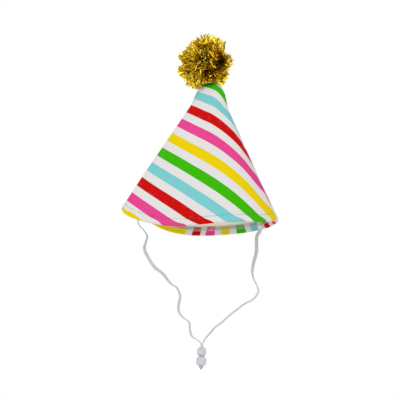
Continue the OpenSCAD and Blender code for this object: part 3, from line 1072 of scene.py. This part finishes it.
def tinsel_strips(name, seed):
    """A third of the ball's cut tinsel strips, clumped into tufts, each a thin closed ribbon."""
    tufts = np.random.default_rng(SEED + 9)
    heads = sphere_points(TUFTS, tufts, 0.14)
    reach = 1 + 0.05 * tufts.normal(size=TUFTS)
    tuft = np.clip(0.98 + 0.22 * tufts.normal(size=TUFTS), 0.35, 1.1)
    rng = np.random.default_rng(seed)
    own = unit(rng.normal(size=(STRIPS, 3)))
    home = np.argmax(own @ heads.T, axis=1)
    pull = rng.uniform(*PULL, (STRIPS, 1))
    tip = unit(own + pull * heads[home] + 0.05 * rng.normal(size=(STRIPS, 3)))
    t = STRIP_AT
    curl = CURL * rng.normal(size=(STRIPS, 3))
    way = unit(own[:, None] * (1 - t[:, None]) + tip[:, None] * t[:, None]
               + curl[:, None] * (t**2.5)[:, None])
    shaded = np.minimum(1, sum(
        bell(np.linalg.norm(way[:, -1] - unit(np.array(centre)), axis=1), width)
        for centre, width in SHADES
    ))
    length = lobed(way[:, -1]) * reach[home] * (1 - 0.22 * shaded) + 0.045 * rng.normal(size=STRIPS)
    length = np.clip(length, *REACH)
    line = clear_of_tip(POMPOM_AT + way * (POMPOM_R * length[:, None] * t)[..., None])
    along = unit(np.gradient(line, axis=1))
    side = unit(np.cross(along, unit(rng.normal(size=(STRIPS, 1, 3)))))
    other = np.cross(along, side)
    twist = rng.uniform(-1.2, 1.2, (STRIPS, 1)) * t
    wide = side * np.cos(twist)[..., None] + other * np.sin(twist)[..., None]
    thick = np.cross(along, wide)
    half = STRIP_W / 2 * rng.uniform(0.7, 1.3, (STRIPS, 1, 1))
    points = np.stack([
        line + (sw * half * wide + st * STRIP_T / 2 * thick)
        for sw, st in ((1, 1), (-1, 1), (-1, -1), (1, -1))
    ], 2)
    last = 4 * (len(t) - 1)
    ribbon = [*grid_faces(len(t), 4, close_cols=True), (3, 2, 1, 0), (last, last + 1, last + 2, last + 3)]
    faces = (np.array(ribbon)[None] + (np.arange(STRIPS) * 4 * len(t))[:, None, None]).reshape(-1, 4)
    piece = new_piece(name, points.reshape(-1, 3), faces, MATERIAL["tinsel"], smooth=False)
    # Painted shade: a strip's random tone and its tuft's are darkened in the shaded hollows, and more
    # towards the ball's core than at its tips
    brightness_and_painted_shade = rng.beta(2.6, 1.0, STRIPS) * tuft[home] * (1 - 0.95 * shaded)
    tone_and_painted_shade = np.repeat(np.clip(brightness_and_painted_shade[:, None] * (0.32 + 0.95 * t**2), 0, 1).ravel(), 4)
    store(piece, "tone_and_painted_shade", tone_and_painted_shade)
    return piece


def winding(centre, radius, height, turns, diameter):
    """A thread wound round an upright core."""
    t = np.linspace(0, turns, turns * 24 + 1)
    a = 2 * np.pi * t
    z = height * (t / turns - 0.5)
    line = centre + np.stack([radius * np.cos(a), radius * np.sin(a), z], 1)
    out = np.stack([np.cos(a), np.sin(a), 0 * a], 1)
    return sweep(line, out, ellipse(diameter, diameter, 8))


def rod(start, end, diameter, sides=24):
    """A straight round rod."""
    line = np.linspace(start, end, 5)
    return sweep(line, (0.3, 1, 0), ellipse(diameter, diameter, sides))


def make_pompom():
    """The ball of strips with its binding, and the wound thread that ties it to the tip."""
    up = np.array([0, 0, MM])
    pieces = [tinsel_strips(f"tinsel_strips_{i + 1}", SEED + 10 + i) for i in range(3)]
    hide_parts("pompom_tinsel")
    binding = [winding(POMPOM_AT, r * MM, 2.6 * MM, 7, 0.4 * MM) for r in (2.8, 3.5, 4.1)]
    pieces.append(new_piece("pompom_binding_thread", *joined(binding), MATERIAL["gold_thread"]))
    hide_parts("pompom_binding")
    for p in pieces:
        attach(p, "pompom")
    neck = [winding(PIVOT + 1.5 * up, 0.85 * MM, 2.2 * MM, 8, 0.3 * MM)]
    neck.append(rod(PIVOT + 0.25 * up, PIVOT + 2.75 * up, 1.5 * MM))
    knot = [winding(PIVOT - 5.7 * up, r * MM, 1.5 * MM, 4, 0.45 * MM) for r in (1.1, 1.7)]
    knot.append(rod(PIVOT - 6.6 * up, PIVOT - 0.2 * up, 1.1 * MM))
    for name, parts, node, body in (
        ("neck_winding", neck, "pompom_neck", "pompom_tie"),
        ("tie_knot_winding", knot, "tie_knot", "hat"),
    ):
        piece = new_piece(name, *joined(parts), MATERIAL["gold_thread"])
        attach(piece, body)
        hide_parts(node)


# ------------------------------------------------------------------ light and floor
def area_light(name, place, size, power, aim=(0, 0, 0.05)):
    """A round soft light at a place, aimed at the hat."""
    data = bpy.data.lights.new(name, "AREA")
    data.shape, data.size, data.energy = "DISK", size, power
    lamp = bpy.data.objects.new(name, data)
    way = Vector(aim) - Vector(place)
    lamp.matrix_world = Matrix.Translation(place) @ way.to_track_quat("-Z", "Y").to_matrix().to_4x4()
    bpy.context.scene.collection.objects.link(lamp)


# Lights: place, diameter in metres, power in watts
KEY_LIGHT = ((-1.1, -1.6, 1.5), 0.9, 14)
FRONT_LIGHT = ((0.4, -1.9, -0.7), 1.2, 7)
FLOOR_SIZE, FLOOR_DOWN = 40, 2.2


def make_stage():
    """A white studio: even light all round, a soft key from the upper left, and a pale floor."""
    world = bpy.data.worlds.new("studio")
    bpy.context.scene.world = world
    world.use_nodes = True
    background = world.node_tree.nodes["Background"]
    background.inputs["Color"].default_value = (1, 1, 1, 1)
    background.inputs["Strength"].default_value = 1.0
    area_light("key", *KEY_LIGHT)
    area_light("front", *FRONT_LIGHT, aim=(0, 0, 0))
    bpy.ops.mesh.primitive_plane_add(size=FLOOR_SIZE, location=(0, 0, -FLOOR_DOWN))
    floor = bpy.context.object
    floor.name = "floor"
    n = Nodes("floor")
    floor.data.materials.append(n.finish(Base_Color=(0.9, 0.9, 0.9, 1), Roughness=0.9))
    bpy.context.scene.view_settings.view_transform = "Standard"


# ------------------------------------------------------------------ the whole hat
make_camera()
MATERIAL = {
    "cloth": striped_cloth(),
    "felt": felt(),
    "thread": thread("white_thread", (236, 234, 230)),
    # The topstitch thread is grey: painted shade of stitches sunk in their crease
    "fine_thread_painted_shade": thread("fine_thread_painted_shade", (158, 148, 146)),
    "lining": thread("cloth_wrong_side", (226, 222, 216), 0.9),
    "gold_thread": thread("gold_thread", (190, 140, 30), 0.4),
    "tinsel": tinsel(),
    "elastic": elastic_braid(),
    "elastic_plain": thread("elastic_knot", (186, 188, 192), 0.75),
    "bead": frosted_plastic(),
}
make_chin_strap()
cloth, (cloth_flat, cloth_area), (felt_flat, felt_area) = make_cloth()
stiffener = make_stiffener()
seam = make_seam()
topstitch = make_topstitch()
overlock = make_overlock()
make_tacks()
make_pompom()
make_stage()
